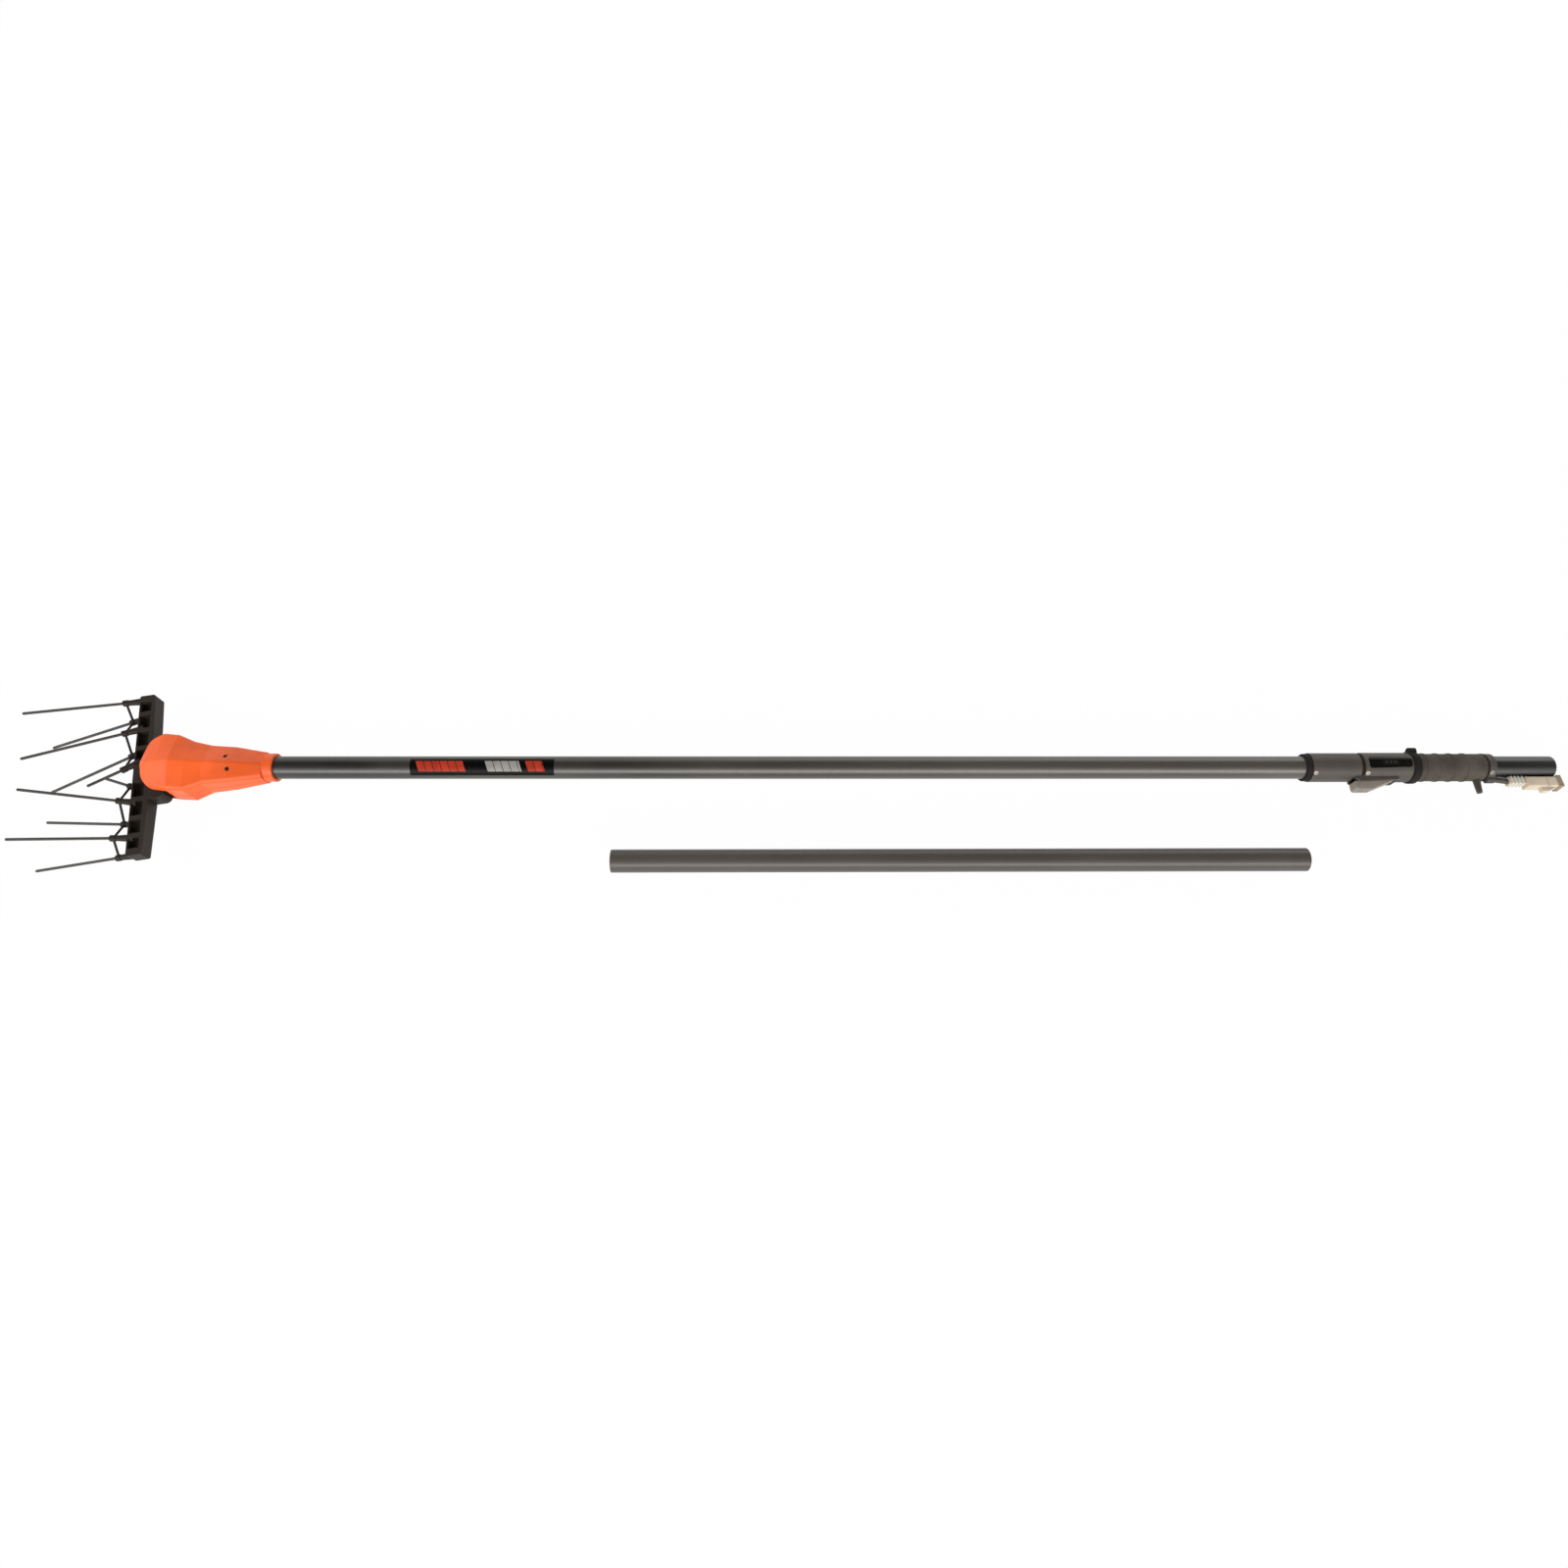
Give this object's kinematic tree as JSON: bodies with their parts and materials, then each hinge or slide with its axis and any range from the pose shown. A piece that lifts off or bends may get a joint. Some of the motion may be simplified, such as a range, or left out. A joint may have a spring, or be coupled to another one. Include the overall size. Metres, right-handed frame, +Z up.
{
  "type": "electric olive harvester",
  "caption": "Electric olive harvester: long pole with a rocking tine comb and geared motor head, trigger handle with a power connector, and a plain extension tube beside it.",
  "frame": {"origin": "centre of the tail tube's rear mouth, where an extension is plugged in", "axes": "+X to the rear along the pole (the pole itself dips by 0.42 degrees from it, because the tool lies on its head and its guard ring), +Y away from the trigger, +Z up"},
  "size_m": [2.1527, 0.2586, 0.0713],
  "materials": {
    "shell_orange": "satin moulded orange",
    "comb_black": "matt black glass-filled nylon",
    "tine_grey": "dark grey drawn carbon rod",
    "pole_black": "gloss black coated aluminium",
    "grip_grey": "warm grey moulded plastic",
    "grip_rubber": "warm grey rubber",
    "black_rubber": "black rubber",
    "panel_black": "gloss black",
    "lens_pale": "pale clear",
    "steel": "plain steel",
    "bronze": "sintered bronze",
    "inner_plastic": "black nylon",
    "connector_cream": "cream moulded plastic",
    "bare_aluminium": "drawn aluminium"
  },
  "bodies": {
    "frame": {"head_cover_upper": "shell_orange", "head_cover_lower": "shell_orange", "head_screws": "steel", "neck_collar": "shell_orange", "pivot_pin": "steel", "thrust_washers": "inner_plastic", "ring_gear": "inner_plastic", "gearbox_cover": "inner_plastic", "output_bush": "bronze", "motor_plate": "steel", "motor_can": "steel", "motor_cap": "inner_plastic", "inner_cable": "black_rubber", "pole_tube": "pole_black", "handle_shell_upper": "grip_grey", "handle_shell_lower": "grip_grey", "handle_screws": "steel", "front_ring": "black_rubber", "guard_ring": "black_rubber", "rear_grip": "grip_rubber", "cable_hook": "grip_grey", "end_collar": "grip_grey", "control_panel": "panel_black", "status_lenses": "lens_pale", "trigger_pin": "steel", "trigger_spring": "steel", "microswitch": "inner_plastic", "tail_plug": "inner_plastic", "lead_boot": "black_rubber", "connector_block": "connector_cream", "connector_seal": "black_rubber", "connector_contacts": "bronze"},
    "comb": {"comb_hub": "comb_black", "arm_bolts": "steel", "pivot_bush": "bronze", "comb_arm_upper": "comb_black", "comb_arm_lower": "comb_black", "tine_brace_upper": "comb_black", "tine_brace_lower": "comb_black", "tine_upper_1": "tine_grey", "tine_upper_2": "tine_grey", "tine_upper_3": "tine_grey", "tine_upper_4": "tine_grey", "tine_upper_5": "tine_grey", "tine_lower_1": "tine_grey", "tine_lower_2": "tine_grey", "tine_lower_3": "tine_grey", "tine_lower_4": "tine_grey", "tine_lower_5": "tine_grey"},
    "crank": {"crank_shaft": "steel", "drive_roller": "steel"},
    "rotor": {"motor_shaft": "steel", "sun_pinion": "steel"},
    "planet_1": {"planet_gear_1": "inner_plastic"},
    "planet_2": {"planet_gear_2": "inner_plastic"},
    "planet_3": {"planet_gear_3": "inner_plastic"},
    "trigger": {"trigger": "grip_grey"},
    "mode_button": {"mode_button": "grip_grey"},
    "extension": {"extension_tube": "pole_black"},
    "ferrule": {"joint_ferrule": "bare_aluminium"}
  },
  "joints": [
    {"name": "comb_rock", "type": "hinge", "parent": "frame", "child": "comb", "pos_m": [-1.89795, 0, 0.01381], "axis": [0.0073, 0, 1], "range_deg": [-18, 0]},
    {"name": "crank_turn", "type": "hinge", "parent": "frame", "child": "crank", "pos_m": [-1.89795, 0, 0.01381], "axis": [1, 0, -0.0073], "range_deg": [0, 180]},
    {"name": "rotor_spin", "type": "hinge", "parent": "frame", "child": "rotor", "pos_m": [-1.89795, 0, 0.01381], "axis": [1, 0, -0.0073], "range_deg": [0, 900]},
    {"name": "planet_spin_1", "type": "hinge", "parent": "crank", "child": "planet_1", "pos_m": [-1.89795, 0.012, 0.01381], "axis": [1, 0, -0.0073], "range_deg": [-480, 0]},
    {"name": "planet_spin_2", "type": "hinge", "parent": "crank", "child": "planet_2", "pos_m": [-1.89787, -0.006, 0.0242], "axis": [1, 0, -0.0073], "range_deg": [-480, 0]},
    {"name": "planet_spin_3", "type": "hinge", "parent": "crank", "child": "planet_3", "pos_m": [-1.89803, -0.006, 0.00342], "axis": [1, 0, -0.0073], "range_deg": [-480, 0]},
    {"name": "trigger_squeeze", "type": "hinge", "parent": "frame", "child": "trigger", "pos_m": [-0.22699, -0.0193, 0.00165], "axis": [-0.0073, 0, -1], "range_deg": [0, 7], "stiffness_Nm_per_rad": 1.2, "springref_deg": -6.88},
    {"name": "mode_press", "type": "slide", "parent": "frame", "child": "mode_button", "axis": [-0.0073, 0, -1], "range_m": [0, 0.0012], "stiffness_N_per_m": 600, "springref_m": -0.001},
    {"name": "extension_lift", "type": "slide", "parent": "frame", "child": "extension", "axis": [0, 0, 1], "range_m": [0, 0.25]},
    {"name": "ferrule_slide", "type": "slide", "parent": "extension", "child": "ferrule", "axis": [-1, 0, 0], "range_m": [0, 0.055]}
  ],
  "couplings": [
    {"joint": "crank_turn", "follows": "comb_rock", "ratio": -10},
    {"joint": "rotor_spin", "follows": "comb_rock", "ratio": -50},
    {"joint": "planet_spin_1", "follows": "comb_rock", "ratio": 26.667},
    {"joint": "planet_spin_2", "follows": "comb_rock", "ratio": 26.667},
    {"joint": "planet_spin_3", "follows": "comb_rock", "ratio": 26.667}
  ]
}
